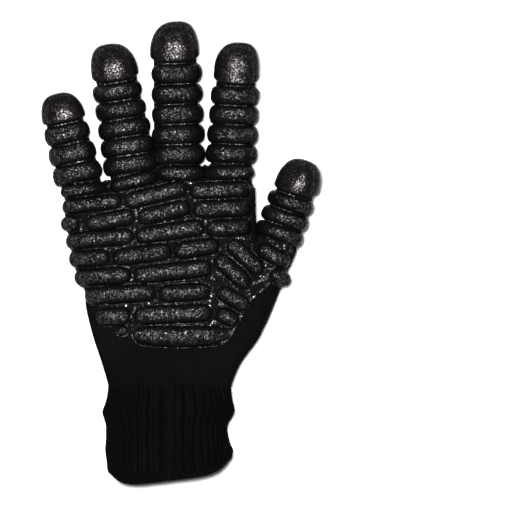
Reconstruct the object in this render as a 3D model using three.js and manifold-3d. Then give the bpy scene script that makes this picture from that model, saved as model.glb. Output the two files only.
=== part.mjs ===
// Anti-vibration work glove for the right hand, lying on its back with the palm up.
// A knitted shell (a hand, five stalls, a ribbed cuff and its hem) carries a rubber skin
// on the palm side, with ribbed sleeves and tip caps on the fingers and pads on the palm.
// Millimetres. +Z is up, +Y points to the fingertips and +X to the thumb side.

import * as THREE from "three";
import { mergeVertices } from "three/addons/utils/BufferGeometryUtils.js";
import Module from "manifold-3d";

// Driving sizes
const KNIT_WALL = 2;
const SKIN_THICKNESS = 0.9;
const FIT_GAP = 0.3;

const CUFF_LENGTH = 57;
const CUFF_WIDTH = 69.5;
const CUFF_THICKNESS = 24;
const HEM_LENGTH = 5.5;
const HEM_PROUD = 0.6;
const HEM_SLANT = 4;
const HEM_CORNER_RISE = 8.5;

const PALM_LENGTH = 114.8;
const PALM_THICKNESS = 27;
const KNUCKLE_THICKNESS = 20.5;
const KNUCKLE_SLANT = 8;
const KNUCKLES_OFF_AXIS = 6.95;
const CROTCH_GAP = 1.5;
const STALL_STANDOFF = 1.5;
const FINGER_BEHIND_ROOT = 16;
const REST_FLAT = 1.2;

// The skin ends at the side of the hand, this far up.
const SKIN_SIDE_HEIGHT = 11.3;
const PAD_WIDTH = 9;
const PAD_HEIGHT = 5.2;
const PAD_EDGE_SINK = 2;
const RIB_HEIGHT = 4.2;
const RIB_GROOVE = 2.8;
const CAP_PAD = 3.6;
const CAP_BACK = 1;
const CAP_BACK_REACH = 11;

// The thumb's heel lies inside the hand, out from the cuff's side and along from the wrist.
// Its root, where the stall starts, is further on along its axis. The two places along the
// hand are shares of the palm's length.
const THUMB_HEEL_OUT = 11.2;
const THUMB_HEEL_WIDTH = 16.2;
const THUMB_HEEL_ALONG = 0.3275;
const THUMB_HEEL_TO_ROOT = 0.4007;

// Width is the knitted stall's, and rootOut is how far past the knuckle line it starts.
// Lean is in degrees, positive to the thumb side. Roll turns the ribs over to one side.
// Curl is how far the tip rises. The two side columns are how far the ribs stand out.
const LITTLE = {
  name: "little", length: 52, width: 20.9, tipWidth: 18.5, thickness: 18, rootOut: 3.3,
  lean: -12.6, roll: 0, curl: 5, cap: 16.8, ribs: 3, littleSide: 1.1, thumbSide: 0.6,
};
const RING = {
  name: "ring", length: 74, width: 22.8, tipWidth: 21.3, thickness: 19.5, rootOut: 5.1,
  lean: -8.6, roll: 0, curl: 6, cap: 21, ribs: 5, littleSide: 1.8, thumbSide: 0.6,
};
const MIDDLE = {
  name: "middle", length: 80.8, width: 22.9, tipWidth: 23, thickness: 20, rootOut: 5,
  lean: -2.4, roll: 0, curl: 6, cap: 22.6, ribs: 5, littleSide: 0.6, thumbSide: 1.9,
};
const INDEX = {
  name: "index", length: 68.4, width: 21.7, tipWidth: 19.7, thickness: 19.5, rootOut: 0.4,
  lean: 2.8, roll: 0, curl: 5, cap: 23.7, ribs: 4, littleSide: 1.4, thumbSide: 1.1,
};
const THUMB = {
  name: "thumb", length: 48, width: 22.5, tipWidth: 20, thickness: 19.5, lean: 19.5,
  roll: -24, curl: 4, cap: 20, ribs: 3, littleSide: 1.2, thumbSide: 1.2,
};
const FINGERS = [LITTLE, RING, MIDDLE, INDEX];

// Edges run from 0 at the cuff's edge to 1 at the knuckles' edge, and can swell past it.
// Bulge is a share of the way from the straight taper up to the palm's thickness.
const PALM_ROWS = [
  { along: 0, littleEdge: 0, thumbEdge: 0, bulge: 0 },
  { along: 0.11, littleEdge: 0.1, thumbEdge: 0.4, bulge: 0.2 },
  { along: 0.25, littleEdge: 0.28, thumbEdge: 1.19, bulge: 0.6 },
  { along: 0.4, littleEdge: 0.425, thumbEdge: 1.5, bulge: 0.9 },
  { along: 0.47, littleEdge: 0.467, thumbEdge: 1.44, bulge: 1 },
  { along: 0.55, littleEdge: 0.59, thumbEdge: 1.27, bulge: 1 },
  { along: 0.64, littleEdge: 0.677, thumbEdge: 1.02, bulge: 0.95 },
  { along: 0.8, littleEdge: 0.797, thumbEdge: 0.93, bulge: 0.8 },
  { along: 0.93, littleEdge: 0.88, thumbEdge: 0.915, bulge: 0.4 },
  { along: 1, littleEdge: 0.955, thumbEdge: 0.893, bulge: 0 },
];

// Along is from the mouth to the hand. Swell is a share of the cuff's half width.
const CUFF_ROWS = [
  { along: 0, swell: -0.01 },
  { along: 0.14, swell: 0.02 },
  { along: 0.27, swell: 0.03 },
  { along: 0.44, swell: -0.01 },
  { along: 0.56, swell: 0.01 },
  { along: 0.7, swell: 0.085 },
  { along: 0.83, swell: 0.03 },
  { along: 1, swell: 0 },
];

// Where the rubber skin ends below the palm, from the little finger's edge to the thumb.
// Across is a share of the knuckles' width from the cuff's axis, along one of the palm.
const SKIN_EDGE = [
  { across: -0.504, along: 0.483 },
  { across: -0.433, along: 0.468 },
  { across: -0.367, along: 0.355 },
  { across: -0.352, along: 0.296 },
  { across: -0.261, along: 0.256 },
  { across: -0.2, along: 0.217 },
  { across: 0.079, along: 0.188 },
  { across: 0.291, along: 0.202 },
  { across: 0.347, along: 0.281 },
  { across: 0.398, along: 0.38 },
  { across: 0.499, along: 0.478 },
  { across: 0.611, along: 0.576 },
  { across: 0.788, along: 0.665 },
];

// Rows of pads, from the knuckles down. From and to are shares of the knuckles' width
// from the cuff's axis, along is a share of the palm's length at the middle of the pad,
// and rise is its climb to the thumb side. Wide is a share of the usual pad's width.
const PALM_PADS = [
  { row: 0, from: -0.55, to: -0.332, along: 1.021, rise: -0.07, wide: 0.74 },
  { row: 0, from: -0.317, to: -0.063, along: 1.023, rise: 0.09, wide: 0.8 },
  { row: 0, from: -0.048, to: 0.2, along: 1.021, rise: -0.12, wide: 0.9 },
  { row: 0, from: 0.21, to: 0.428, along: 0.994, rise: -0.1, wide: 0.9 },
  { row: 1, from: -0.545, to: -0.241, along: 0.933, rise: -0.06, wide: 0.76 },
  { row: 1, from: -0.231, to: 0.104, along: 0.949, rise: 0.01, wide: 0.95 },
  { row: 1, from: 0.114, to: 0.408, along: 0.925, rise: -0.1, wide: 1.02 },
  { row: 2, from: -0.535, to: -0.459, along: 0.836, rise: -0.1, wide: 0.92 },
  { row: 2, from: -0.418, to: -0.17, along: 0.836, rise: 0.06, wide: 0.96 },
  { row: 2, from: -0.155, to: 0.104, along: 0.857, rise: 0.01, wide: 1 },
  { row: 2, from: 0.114, to: 0.408, along: 0.836, rise: -0.08, wide: 1.04 },
  { row: 3, from: -0.514, to: -0.195, along: 0.743, rise: 0, wide: 1 },
  { row: 3, from: -0.165, to: 0.19, along: 0.758, rise: 0.01, wide: 1 },
  { row: 3, from: 0.2, to: 0.408, along: 0.752, rise: -0.06, wide: 1 },
  { row: 4, from: -0.499, to: -0.307, along: 0.651, rise: 0.01, wide: 1.02 },
  { row: 4, from: -0.286, to: 0.008, along: 0.653, rise: 0.01, wide: 1.02 },
  { row: 4, from: 0.028, to: 0.251, along: 0.668, rise: 0.04, wide: 1 },
  { row: 5, from: -0.474, to: -0.195, along: 0.545, rise: 0.01, wide: 1.04 },
  { row: 5, from: -0.18, to: 0.21, along: 0.564, rise: 0.01, wide: 1.04 },
  { row: 6, from: -0.433, to: -0.063, along: 0.45, rise: 0.03, wide: 1.04 },
  { row: 6, from: -0.048, to: 0.215, along: 0.465, rise: 0.04, wide: 1.04 },
  { row: 7, from: -0.367, to: -0.2, along: 0.347, rise: -0.01, wide: 1.08 },
  { row: 7, from: -0.175, to: 0.21, along: 0.353, rise: 0.01, wide: 1.06 },
  { row: 8, from: -0.291, to: -0.205, along: 0.257, rise: 0, wide: 0.8 },
  { row: 8, from: -0.185, to: 0.281, along: 0.247, rise: 0, wide: 1.1 },
];

// Slanting pads between the palm and the thumb, as shares of the same two sizes.
const THUMB_PADS = [
  { across: 0.286, along: 0.325, length: 0.111, slope: -18, wide: 0.92 },
  { across: 0.317, along: 0.429, length: 0.182, slope: -30, wide: 0.96 },
  { across: 0.312, along: 0.562, length: 0.223, slope: -43, wide: 1 },
  { across: 0.378, along: 0.631, length: 0.233, slope: -43, wide: 1 },
  { across: 0.519, along: 0.64, length: 0.152, slope: -30, wide: 0.96 },
  { across: 0.55, along: 0.532, length: 0.101, slope: -30, wide: 0.9 },
];

// Rounding of a section: 2 is an ellipse and more is squarer.
const FINGER_SQUARE = 2.3;
const PALM_SQUARE = 3;
const PAD_SQUARE = 2.4;

// A finger's underside is flattened at this share of its half thickness.
const FINGER_FLAT = 0.84;
const TIP_THINNING = 0.9;
const CURL_LATENESS = 0.8;
const ROLL_CLEARANCE = 0.75;

// Powers that shape a tip's dome, a rib's crown and a cap's edge: less is fuller.
const DOME_FULLNESS = 0.8;
const CROWN_FULLNESS = 0.6;
const CAP_EDGE_FULLNESS = 0.7;

// How finely the solids are faceted.
const PALM_STEP = 22.5;
const FINGER_STEP = 30;
const PAD_SIDES = 6;

const MATERIALS = {
  knit: new THREE.MeshStandardMaterial({ color: 0x1b1b1e, roughness: 0.95 }),
  cuff: new THREE.MeshStandardMaterial({ color: 0x141416, roughness: 0.97 }),
  hem: new THREE.MeshStandardMaterial({ color: 0x1a1716, roughness: 0.95 }),
  skin: new THREE.MeshStandardMaterial({ color: 0x131315, roughness: 0.6 }),
  rubber: new THREE.MeshStandardMaterial({ color: 0x101012, roughness: 0.42 }),
};

const wasm = await Module();
wasm.setup();

// Sizes that follow from the driving ones
const wristY = CUFF_LENGTH;
const sleeveWidth = (finger) =>
  finger.width + 2 * (FIT_GAP + SKIN_THICKNESS) + finger.littleSide + finger.thumbSide;
const knuckleWidth =
  FINGERS.map(sleeveWidth).reduce((sum, width) => sum + width) + (FINGERS.length - 1) * CROTCH_GAP;
const knuckleLittleEdge = -knuckleWidth / 2 - KNUCKLES_OFF_AXIS;
const knuckleThumbEdge = knuckleLittleEdge + knuckleWidth;

const degrees = (angle) => (angle * Math.PI) / 180;
const mix = (a, b, share) => a + (b - a) * share;

// A superellipse's sine or cosine.
function squared(value, square) {
  return Math.sign(value) * Math.abs(value) ** (2 / square);
}

// A column of a table at a place between its rows.
function between(rows, along, column) {
  let i = 0;
  while (i < rows.length - 2 && rows[i + 1].along < along) i += 1;
  const [a, b] = [rows[i], rows[i + 1]];
  return mix(a[column], b[column], (along - a.along) / (b.along - a.along));
}

// A closed solid through rings of points. The ends are fans, unless the rings close a loop.
function loft(rings, loop = false) {
  const sides = rings[0].length;
  const points = rings.flat();
  const faces = [];
  const last = loop ? rings.length : rings.length - 1;
  for (let i = 0; i < last; i += 1) {
    const a = i * sides;
    const b = ((i + 1) % rings.length) * sides;
    for (let k = 0; k < sides; k += 1) {
      const next = (k + 1) % sides;
      faces.push([a + k, a + next, b + next], [a + k, b + next, b + k]);
    }
  }
  if (!loop) {
    const ends = [
      [rings[0], 0, true],
      [rings.at(-1), last * sides, false],
    ];
    for (const [ring, start, turned] of ends) {
      const middle = new THREE.Vector3();
      ring.forEach((p) => middle.addScaledVector(p, 1 / sides));
      const hub = points.push(middle) - 1;
      for (let k = 0; k < sides; k += 1) {
        const edge = [start + k, start + ((k + 1) % sides)];
        faces.push(turned ? [hub, edge[1], edge[0]] : [hub, ...edge]);
      }
    }
  }
  return facingOut(geometryOf(points, faces));
}

// A strip bent round a tube: each section is an outer and an inner run of equal length.
function stripLoft(sections) {
  const run = sections[0].outer.length;
  const rings = sections.map(({ outer, inner }) => [...outer, ...[...inner].reverse()]);
  const points = rings.flat();
  const sides = 2 * run;
  const faces = [];
  for (let i = 0; i < rings.length - 1; i += 1) {
    for (let k = 0; k < sides; k += 1) {
      const [a, b, next] = [i * sides, (i + 1) * sides, (k + 1) % sides];
      faces.push([a + k, a + next, b + next], [a + k, b + next, b + k]);
    }
  }
  for (const [start, turned] of [[0, true], [(rings.length - 1) * sides, false]]) {
    for (let k = 0; k < run - 1; k += 1) {
      const quad = [start + k, start + k + 1, start + sides - 2 - k, start + sides - 1 - k];
      const [a, b, c, d] = turned ? quad.reverse() : quad;
      faces.push([a, b, c], [a, c, d]);
    }
  }
  return facingOut(geometryOf(points, faces));
}

function geometryOf(points, faces) {
  const geometry = new THREE.BufferGeometry().setFromPoints(points);
  geometry.setIndex(faces.flat());
  return geometry;
}

// Turns the faces round if they point inwards.
function facingOut(geometry) {
  const { position } = geometry.attributes;
  const index = geometry.index.array;
  const [a, b, c] = [new THREE.Vector3(), new THREE.Vector3(), new THREE.Vector3()];
  let volume = 0;
  for (let i = 0; i < index.length; i += 3) {
    a.fromBufferAttribute(position, index[i]);
    b.fromBufferAttribute(position, index[i + 1]);
    c.fromBufferAttribute(position, index[i + 2]);
    volume += a.dot(b.cross(c));
  }
  if (volume < 0) {
    for (let i = 0; i < index.length; i += 3) {
      [index[i + 1], index[i + 2]] = [index[i + 2], index[i + 1]];
    }
  }
  return geometry;
}

function toSolid(geometry) {
  const bare = new THREE.BufferGeometry();
  bare.setAttribute("position", geometry.attributes.position);
  if (geometry.index) bare.setIndex(geometry.index);
  const merged = mergeVertices(bare, 1e-4);
  return new wasm.Manifold(
    new wasm.Mesh({
      numProp: 3,
      vertProperties: merged.attributes.position.array,
      triVerts: new Uint32Array(merged.index.array),
    }),
  );
}

function toGeometry(solid) {
  const mesh = solid.getMesh();
  const geometry = new THREE.BufferGeometry();
  geometry.setAttribute("position", new THREE.BufferAttribute(mesh.vertProperties, 3));
  geometry.setIndex(new THREE.BufferAttribute(mesh.triVerts, 1));
  return geometry;
}

const joined = (solids) => solids.reduce((whole, solid) => whole.add(solid));

// The largest of the bodies that a cut leaves.
function mainBody(solid) {
  return solid.decompose().sort((a, b) => b.volume() - a.volume())[0];
}

// The hand's section at a share of the palm's length.
function palmSection(along) {
  const little = mix(-CUFF_WIDTH / 2, knuckleLittleEdge, between(PALM_ROWS, along, "littleEdge"));
  const thumb = mix(CUFF_WIDTH / 2, knuckleThumbEdge, between(PALM_ROWS, along, "thumbEdge"));
  const taper = mix(CUFF_THICKNESS, KNUCKLE_THICKNESS, along);
  const thickness = mix(taper, PALM_THICKNESS, between(PALM_ROWS, along, "bulge"));
  return { centre: (little + thumb) / 2, half: (thumb - little) / 2, rise: thickness / 2 };
}

// The knuckle end slants: the index finger starts further up than the little finger.
function knuckleShift(along, across) {
  return KNUCKLE_SLANT * across * along ** 3;
}

// A point of the hand's skin: angle 90 is the middle of the palm, 270 the middle of the back.
function palmPoint(along, angle, offset) {
  const { centre, half, rise } = palmSection(Math.min(along, 1));
  const across = squared(Math.cos(degrees(angle)), PALM_SQUARE);
  const up = squared(Math.sin(degrees(angle)), PALM_SQUARE);
  return new THREE.Vector3(
    centre + (half + offset) * across,
    wristY + PALM_LENGTH * along + knuckleShift(along, across),
    Math.max(rise - REST_FLAT + (rise + offset) * up, -offset),
  );
}

function turns(step) {
  return Array.from({ length: Math.round(360 / step) }, (unused, i) => i * step);
}

function palmRings(offset, first, last) {
  const middle = PALM_ROWS.map((row) => row.along).filter((a) => a > first && a < last);
  return [first, ...middle, last].map((along) =>
    turns(PALM_STEP).map((angle) => palmPoint(along, angle, offset)),
  );
}

const FINGER_ANGLES = turns(FINGER_STEP);
const PALM_SIDE_ANGLES = FINGER_ANGLES.filter((angle) => angle <= 180);

// Where each finger's axis starts, side by side along the slanting knuckles.
function placeFingers() {
  let edge = knuckleLittleEdge;
  for (const finger of FINGERS) {
    const x = edge + (sleeveWidth(finger) + finger.littleSide - finger.thumbSide) / 2;
    edge += sleeveWidth(finger) + CROTCH_GAP;
    const across = (2 * (x - knuckleLittleEdge)) / knuckleWidth - 1;
    const slope = KNUCKLE_SLANT / (knuckleWidth / 2);
    const clear = Math.abs(Math.tan(degrees(finger.lean)) + slope) * (finger.width / 2);
    const knuckleLine = wristY + PALM_LENGTH + knuckleShift(1, across);
    finger.root = new THREE.Vector3(x, knuckleLine + STALL_STANDOFF + clear + finger.rootOut, 0);
    finger.behind = FINGER_BEHIND_ROOT;
    finger.deepWidth = finger.width;
    finger.deepThickness = finger.thickness;
  }
  const lean = degrees(THUMB.lean);
  const heelX = CUFF_WIDTH / 2 + THUMB_HEEL_OUT;
  const heel = new THREE.Vector3(heelX, wristY + PALM_LENGTH * THUMB_HEEL_ALONG, 0);
  THUMB.behind = PALM_LENGTH * THUMB_HEEL_TO_ROOT;
  THUMB.root = heel.add(
    new THREE.Vector3(Math.sin(lean), Math.cos(lean), 0).multiplyScalar(THUMB.behind),
  );
  THUMB.deepWidth = THUMB_HEEL_WIDTH;
  THUMB.deepThickness = PALM_THICKNESS - REST_FLAT;
}
placeFingers();
const STALLS = [...FINGERS, THUMB];

const straightLength = (finger) => finger.length - finger.tipWidth / 2;

// A finger's half width, half thickness and lift at a distance from its root.
function fingerSection(finger, distance) {
  const share = distance / straightLength(finger);
  if (share < 0) {
    const back = Math.min(1, -distance / finger.behind);
    return {
      half: mix(finger.width, finger.deepWidth, back) / 2,
      rise: mix(finger.thickness, finger.deepThickness, back) / 2,
      lift: 0,
    };
  }
  return {
    half: mix(finger.width, finger.tipWidth, share) / 2,
    rise: (finger.thickness / 2) * mix(1, TIP_THINNING, share),
    lift: finger.curl * mix(share, Math.max(0, 2 * share - 1), CURL_LATENESS),
  };
}

// A point on a finger. Station is 0 at the root, 1 where the tip's dome starts and 2 at its
// pole. Angle is as on the palm, and sides widens the little finger's and the thumb's side.
function fingerPoint(finger, station, angle, offset, sides = [0, 0]) {
  const domeRadius = finger.tipWidth / 2;
  const dome = degrees(90 * Math.max(0, station - 1));
  const distance = Math.min(station, 1) * straightLength(finger);
  const { half, rise, lift } = fingerSection(finger, distance);
  const shrink = Math.cos(dome) ** DOME_FULLNESS;
  const cosine = squared(Math.cos(degrees(angle)), FINGER_SQUARE);
  const sine = squared(Math.sin(degrees(angle)), FINGER_SQUARE);
  const side = cosine < 0 ? sides[0] : sides[1];
  const across = (half + offset + side) * cosine * shrink;
  const up = Math.max((rise + offset) * sine, -(rise * FINGER_FLAT + offset)) * shrink;
  const local = new THREE.Vector3(across, distance + (domeRadius + offset) * Math.sin(dome), up);
  return toWorld(finger, local, rise * FINGER_FLAT + lift);
}

// From a finger's own frame to the glove's: roll about its axis, then lean in the plane.
function toWorld(finger, local, height) {
  const rolled = local.applyAxisAngle(new THREE.Vector3(0, 1, 0), degrees(finger.roll));
  rolled.z += height + (finger.roll ? rollLift(finger) : 0);
  return rolled.applyAxisAngle(new THREE.Vector3(0, 0, 1), degrees(-finger.lean)).add(finger.root);
}

// How far a rolled finger's lower edge would dip, so that it is lifted clear of the surface.
function rollLift(finger) {
  const turned = Math.abs(Math.sin(degrees(finger.roll)));
  return turned * (finger.width - finger.thickness * FINGER_FLAT) * ROLL_CLEARANCE;
}

// The station whose distance from the root, along the axis, is given.
function stationAt(finger, distance) {
  const straight = straightLength(finger);
  if (distance <= straight) return distance / straight;
  const share = Math.min(1, (distance - straight) / (finger.tipWidth / 2));
  return 1 + (Math.asin(share) * 2) / Math.PI;
}

const STALL_STATIONS = [0.5, 1, 1.34, 1.7];

// A cap's rings, from its edge to the tip, and how full its thickness is at each.
const CAP_RINGS = [
  { share: 0, full: 0.55 },
  { share: 0.07, full: 1 },
  { share: 0.4, full: 1 },
  { share: 0.72, full: 1 },
];

function fingerRing(finger, station, offset) {
  return FINGER_ANGLES.map((angle) => fingerPoint(finger, station, angle, offset));
}

// A knitted stall: a tube with a closed tip and an open root.
function stall(finger) {
  const root = FIT_GAP / 2 / straightLength(finger);
  const outside = [root, ...STALL_STATIONS].map((s) => fingerRing(finger, s, 0));
  const inside = [root, ...STALL_STATIONS].map((s) => fingerRing(finger, s, -KNIT_WALL));
  return loft([...outside.reverse(), ...inside]);
}

// The whole finger as a closed bar that runs back into the hand, for joins and cuts.
function fingerBar(finger, offset) {
  const back = -(finger.behind + offset) / straightLength(finger);
  const stations = [back, back / 2, 0, ...STALL_STATIONS];
  return toSolid(loft(stations.map((s) => fingerRing(finger, s, offset))));
}

// The hand with all its fingers, grown or shrunk by an offset.
function wholeHand(offset, first) {
  const last = 1 + offset / PALM_LENGTH;
  const palm = toSolid(loft(palmRings(offset, first, last)));
  return joined([palm, ...STALLS.map((finger) => fingerBar(finger, offset))]);
}

// A block that holds everything past a finger's root plane, less a gap before it.
function pastRoot(finger, gap) {
  const [wide, deep] = [sleeveWidth(finger) + 4 * STALL_STANDOFF, 4 * PALM_THICKNESS];
  const long = 2 * finger.length;
  const block = new THREE.BoxGeometry(wide, long, deep);
  block.translate(0, long / 2 - gap, 0);
  block.rotateZ(degrees(-finger.lean));
  block.translate(finger.root.x, finger.root.y, 0);
  return toSolid(block);
}

function handShell() {
  const beyondWrist = -KNIT_WALL / PALM_LENGTH;
  let hand = wholeHand(0, FIT_GAP / 2 / PALM_LENGTH);
  hand = hand.subtract(wholeHand(-KNIT_WALL, beyondWrist));
  for (const finger of STALLS) hand = hand.subtract(pastRoot(finger, FIT_GAP / 2));
  return mainBody(hand);
}

// The rubber skin over the palm, cut to its edge and kept to the upper half of the hand.
function palmSkin() {
  const edge = SKIN_EDGE.map(
    ({ across, along }) => new THREE.Vector2(across * knuckleWidth, wristY + along * PALM_LENGTH),
  );
  const top = wristY + 2 * PALM_LENGTH;
  const corners = [edge.at(-1).x, edge[0].x].map((x) => new THREE.Vector2(x, top));
  const outline = new THREE.Shape([...edge, ...corners]);
  const slab = new THREE.ExtrudeGeometry(outline, { depth: 2 * PALM_THICKNESS, bevelEnabled: false });
  slab.translate(0, 0, SKIN_SIDE_HEIGHT);
  const region = toSolid(slab);
  const outer = wholeHand(FIT_GAP + SKIN_THICKNESS, 0);
  let skin = outer.subtract(wholeHand(FIT_GAP, 0)).intersect(region);
  for (const finger of STALLS) skin = skin.subtract(pastRoot(finger, FIT_GAP));
  return mainBody(skin);
}

// A finger's ribbed sleeve, from its root to its cap, over the palm side only.
function sleeve(finger) {
  const straight = straightLength(finger);
  const start = FIT_GAP;
  const end = finger.length - finger.cap - FIT_GAP;
  const pitch = (end - start) / finger.ribs;
  const base = FIT_GAP + SKIN_THICKNESS;
  const sides = [finger.littleSide, finger.thumbSide];
  const section = (distance, height) => ({
    outer: PALM_SIDE_ANGLES.map((angle) => {
      const crown = Math.sin(degrees(angle)) ** CROWN_FULLNESS;
      const standing = sides.map((side) => (side * height) / RIB_HEIGHT);
      return fingerPoint(finger, distance / straight, angle, base + height * crown, standing);
    }),
    inner: PALM_SIDE_ANGLES.map((angle) => fingerPoint(finger, distance / straight, angle, FIT_GAP)),
  });
  const sections = [section(start, 0)];
  for (let i = 0; i < finger.ribs; i += 1) {
    sections.push(section(start + i * pitch + RIB_GROOVE / 2, RIB_HEIGHT));
    sections.push(section(start + (i + 1) * pitch - RIB_GROOVE / 2, RIB_HEIGHT));
    sections.push(section(start + (i + 1) * pitch, 0));
  }
  return stripLoft(sections);
}

// A fingertip's cap: a thick dome over the palm side that thins to the back of the tip.
function tipCap(finger) {
  const rings = CAP_RINGS.map(({ share, full }) =>
    FINGER_ANGLES.map((angle) => {
      const palmSide = (1 + Math.sin(degrees(angle))) / 2;
      const reach = mix(CAP_BACK_REACH, finger.cap, palmSide ** CAP_EDGE_FULLNESS);
      const station = mix(stationAt(finger, finger.length - reach), 2, share);
      const offset = FIT_GAP + mix(CAP_BACK, CAP_PAD, palmSide) * full;
      return fingerPoint(finger, station, angle, offset);
    }),
  );
  return toGeometry(toSolid(loft(rings)).subtract(fingerBar(finger, FIT_GAP)));
}

// How high the hand's upper surface stands over a point of the plan.
function heightAt(x, y, offset) {
  const along = (y - wristY) / PALM_LENGTH;
  const { centre, half, rise } = palmSection(Math.min(Math.max(along, 0), 1));
  const across = Math.min(1, Math.abs(x - centre) / (half + offset));
  let top = rise - REST_FLAT + (rise + offset) * (1 - across ** PALM_SQUARE) ** (1 / PALM_SQUARE);
  for (const finger of STALLS) {
    const lean = degrees(finger.lean);
    const [dx, dy] = [x - finger.root.x, y - finger.root.y];
    const side = dx * Math.cos(lean) - dy * Math.sin(lean);
    const distance = dx * Math.sin(lean) + dy * Math.cos(lean);
    if (distance < -finger.behind) continue;
    const part = fingerSection(finger, distance);
    const share = Math.abs(side) / (part.half + offset);
    if (share >= 1) continue;
    const up = (1 - share ** FINGER_SQUARE) ** (1 / FINGER_SQUARE);
    const lift = finger.roll ? rollLift(finger) : 0;
    top = Math.max(top, part.rise * FINGER_FLAT + part.lift + lift + (part.rise + offset) * up);
  }
  return top;
}

// A pad's rings from an end to the middle, as shares of the length of its rounded end.
const PAD_END_RINGS = [
  { at: 0.12, size: 0.5 },
  { at: 0.7, size: 0.95 },
];
const PAD_MIDDLE_RINGS = [0.35, 0.65];

// A soft bar along a path, as wide and high as asked, with rounded ends.
function bar(path, halfWidth, height) {
  const curve = new THREE.CatmullRomCurve3(path);
  const length = curve.getLength();
  const end = Math.min(0.45, halfWidth / length);
  const ends = PAD_END_RINGS.map(({ at, size }) => ({ at: at * end, size }));
  const long = length > 5 * halfWidth;
  const stations = [
    ...ends,
    ...(long ? PAD_MIDDLE_RINGS : []).map((at) => ({ at, size: 1 })),
    ...ends.map(({ at, size }) => ({ at: 1 - at, size })).reverse(),
  ];
  const rings = stations.map(({ at, size }) => {
    const point = curve.getPointAt(at);
    const tangent = curve.getTangentAt(at);
    const side = new THREE.Vector3(-tangent.y, tangent.x, 0).normalize();
    const up = new THREE.Vector3().crossVectors(tangent, side).normalize();
    return turns(360 / PAD_SIDES).map((angle) =>
      point
        .clone()
        .addScaledVector(side, halfWidth * size * squared(Math.cos(degrees(angle)), PAD_SQUARE))
        .addScaledVector(up, height * size * squared(Math.sin(degrees(angle)), PAD_SQUARE)),
    );
  });
  return toSolid(loft(rings));
}

// A pad of a row: it follows the palm, over its rounded edge too, where it sinks in a little.
const PAD_STEPS = [0, 0.12, 0.3, 0.5, 0.7, 0.88, 1];
const PALM_EDGE = 0.995;
const PALM_ROUNDING_STARTS = 0.8;
const PALM_SIDE_STARTS = 0.9;

function rowPad({ from, to, along, rise, wide }, foot) {
  const path = PAD_STEPS.map((step) => {
    const x = mix(from, to, step) * knuckleWidth;
    const climb = rise * (step - 0.5) * (to - from) * knuckleWidth;
    const place = along + climb / PALM_LENGTH;
    const { centre, half } = palmSection(Math.min(place, 1));
    const across = THREE.MathUtils.clamp((x - centre) / (half + foot), -PALM_EDGE, PALM_EDGE);
    const angle = THREE.MathUtils.radToDeg(Math.acos(squared(across, 4 / PALM_SQUARE)));
    const rounding = (Math.abs(across) - PALM_ROUNDING_STARTS) / (1 - PALM_ROUNDING_STARTS);
    const point = palmPoint(place, angle, foot - PAD_EDGE_SINK * Math.max(0, rounding));
    if (Math.abs(across) < PALM_SIDE_STARTS) {
      point.z = Math.max(point.z, heightAt(point.x, point.y, foot));
    }
    return point;
  });
  return bar(path, (wide * PAD_WIDTH) / 2, PAD_HEIGHT);
}

// A slanting pad near the thumb, laid on whatever stands highest there.
function thumbPad({ across, along, length, slope, wide }, foot) {
  const path = PAD_STEPS.map((step) => {
    const reach = (step - 0.5) * length * knuckleWidth;
    const x = across * knuckleWidth + reach * Math.cos(degrees(slope));
    const y = wristY + along * PALM_LENGTH + reach * Math.sin(degrees(slope));
    return new THREE.Vector3(x, y, heightAt(x, y, foot));
  });
  return bar(path, (wide * PAD_WIDTH) / 2, PAD_HEIGHT);
}

// The cuff: rings from the mouth up, whose lower edge slants and lifts at its corners.
function cuffRing(share, offset) {
  const { half, rise } = palmSection(0);
  const swell = half * between(CUFF_ROWS, share, "swell");
  return turns(PALM_STEP).map((angle) => {
    const across = squared(Math.cos(degrees(angle)), PALM_SQUARE);
    const up = squared(Math.sin(degrees(angle)), PALM_SQUARE);
    const edge = (HEM_SLANT * across + HEM_CORNER_RISE * across ** 6) * (1 - share) ** 2;
    return new THREE.Vector3(
      (half + swell + offset) * across,
      wristY * share + edge + HEM_SLANT / 2,
      Math.max(rise - REST_FLAT + (rise + swell / 2 + offset) * up, offset < 0 ? -offset : 0),
    );
  });
}

function tube(shares, outer, inner) {
  const outside = shares.map((share) => cuffRing(share, outer));
  const inside = shares.map((share) => cuffRing(share, inner));
  return loft([...outside, ...inside.reverse()], true);
}

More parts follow.
